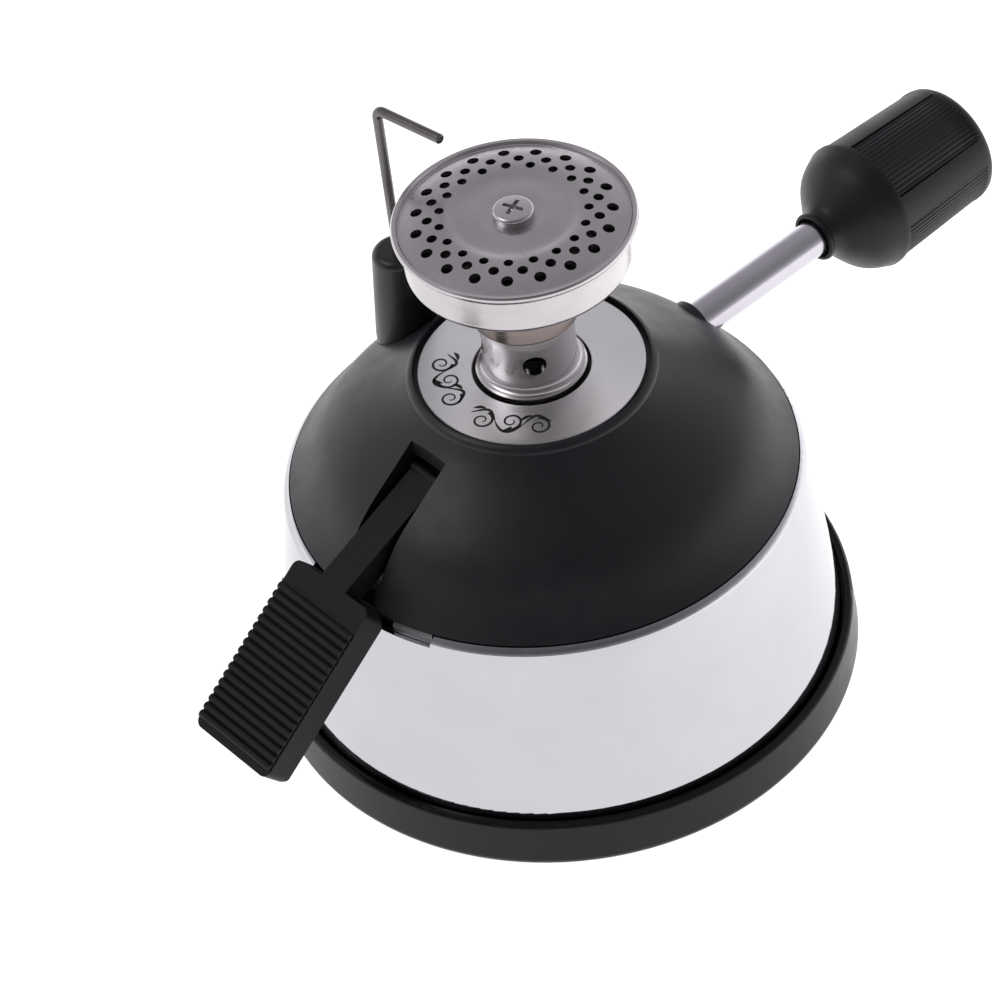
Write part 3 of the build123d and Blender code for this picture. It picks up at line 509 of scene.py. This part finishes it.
def knob_outline():
    """(distance from the mouth, radius) pairs from the bottom of the bore, out through the mouth and
    over the bell to the end."""
    bore = [(bore_depth, 0), (bore_depth, bore_r), (1.8, bore_r), (1.6, rod_r + 0.4),
            (0.25, rod_r + 0.45), (0, rod_r + 0.6)]
    lip = [(0, 3.85), (0.12, 4.08), (0.4, 4.19)]
    bell = curve_through([(0.5, 4.2), (1.2, 4.0), (2.6, 4.7), (4.6, 7.0), (7.2, 9.7), (10.4, 11.2)], 7)
    side = [(panel_start - 0.06, 11.17), (panel_start + 0.06, 11.165), (panel_start + 0.5, 11.15),
            (15.6, 11.0), (21.6, 10.78), (26.6, 10.58), (panel_end - 0.1, 10.45), (panel_end + 0.1, 10.44),
            (30.8, 10.4)]
    end = [(31.35, 10.26), (31.8, 9.9), (32.1, 9.4), (knob_length, 8.9), (knob_length, 5.0), (knob_length, 0)]
    return bore + lip + bell + side + end


def knob_angles():
    """(angle, depth below the lobes) pairs round the knob, with a sharp step at each lobe's edge."""
    made = []
    panel = 360 / lobes - 2 * lobe_half
    for lobe in range(lobes):
        middle = lobe_middle + 360 / lobes * lobe
        for step in range(lobe_steps + 1):
            made.append((middle - lobe_half + 2 * lobe_half * step / lobe_steps, 0))
        start = middle + lobe_half + lobe_edge
        count = ribs_per_panel * rib_steps
        for step in range(count + 1):
            rise = rib_height * abs(sin(pi * step / rib_steps))
            made.append((start + (panel - 2 * lobe_edge) * step / count, groove_depth - rise))
    return made


def panel_share(distance):
    """How much of the panels' depth is cut at a place along the knob."""
    if distance < panel_start or distance > panel_end:
        return 0
    return 1.0 - panel_fade * (distance - panel_start) / (panel_end - panel_start)


def make_knob():
    """Bell-mouthed knob with four finely ribbed panels between smooth lobes."""
    mesh_data = bmesh.new()
    angles = knob_angles()
    rows = []
    for distance, radius in knob_outline():
        x = knob_start + distance
        if radius == 0:
            rows.append([mesh_data.verts.new(mm(x, 0, rod_z))])
            continue
        share = panel_share(distance) if radius > ribbed_r else 0
        row = []
        for angle, depth in angles:
            r = radius - depth * share
            row.append(mesh_data.verts.new(mm(x, r * cos(radians(angle)), rod_z + r * sin(radians(angle)))))
        rows.append(row)
    for lower, upper in zip(rows, rows[1:]):
        bridge(mesh_data, lower, upper)
    knob = new_object("ribbed_knob", mesh_data, 40)
    set_in(paint(knob, black_knob), "rod", "knob_plastic", "knob")


# ---------------------------------------------------------------- etched scrolls on the trim plate
vine_r = 13.2
vine_swing = 1.75
etch_sink = 0.02
etch_rise = 0.012


def on_ring(radius, angle):
    """The point at a radius and an angle from +X towards +Y."""
    return (radius * cos(radians(angle)), radius * sin(radians(angle)))


def etch(mesh_data, path, widths):
    """A dark line let into the trim plate's top, standing just proud of it."""
    strip(mesh_data, path, widths, trim_top - etch_sink, trim_top + etch_rise)


def scroll(mesh_data, radius, angle, start, size, hand):
    """A curl that leaves the stem at its widest and tightens towards its own middle."""
    centre = Vector(on_ring(radius, angle))
    path = []
    widths = []
    count = 40
    for step in range(count + 1):
        t = step / count
        reach = size * (1 - 0.80 * t)
        turn = radians(start + hand * 500 * t)
        path.append((centre.x + reach * cos(turn), centre.y + reach * sin(turn)))
        widths.append(0.14 + 0.30 * (1 - t) ** 0.7)
    etch(mesh_data, path, widths)


def leaf(mesh_data, radius, angle, heading, length, width):
    """A slim pointed leaf that bends a little to the left."""
    root = Vector(on_ring(radius, angle))
    path = []
    widths = []
    count = 12
    for step in range(count + 1):
        t = step / count
        turn = radians(heading + 35 * t)
        path.append((root.x + length * t * cos(turn), root.y + length * t * sin(turn)))
        widths.append(0.05 + width * sin(pi * t) ** 0.8)
    etch(mesh_data, path, widths)


def make_vine(name, first, last, bends):
    """A wavy stem that swells at its bends, with a curl and a leaf at each."""
    mesh_data = bmesh.new()
    path = []
    widths = []
    count = 30 * bends
    for step in range(count + 1):
        t = step / count
        path.append(on_ring(vine_r - vine_swing * sin(pi * bends * t), first + (last - first) * t))
        widths.append(0.16 + 0.34 * abs(sin(pi * bends * t)))
    etch(mesh_data, path, widths)
    for bend in range(bends):
        angle = first + (last - first) * (bend + 0.5) / bends
        hand = -1 if bend % 2 else 1
        scroll(mesh_data, vine_r + 0.55 * hand, angle + 1.0, angle + 90 + 90 * hand, 1.75, -hand)
        leaf(mesh_data, vine_r - 1.8 * hand, angle - 3, angle - 100 * hand, 1.9, 0.55)
    set_in(paint(new_object(name, mesh_data), dark_etch), "housing", "trim_steel")


# ---------------------------------------------------------------- lip of the skirt beside the lever
def make_lip_stop():
    """A grey strip that stands in the notch of the skirt's lip, close to the lever."""
    outline = [(39.75, 40.28), (39.8, 40.4), (39.75, 41.3), (39.4, 41.9), (39.15, 41.9), (39.25, 40.28)]
    stop = swept("lip_stop", outline, 192.5, 202.2)
    set_in(paint(stop, stop_steel), "housing", "skirt_chrome")


make_knob()
make_lip_stop()
make_vine("vine_left", 122, 172, 3)
make_vine("vine_front", 184, 240, 3)
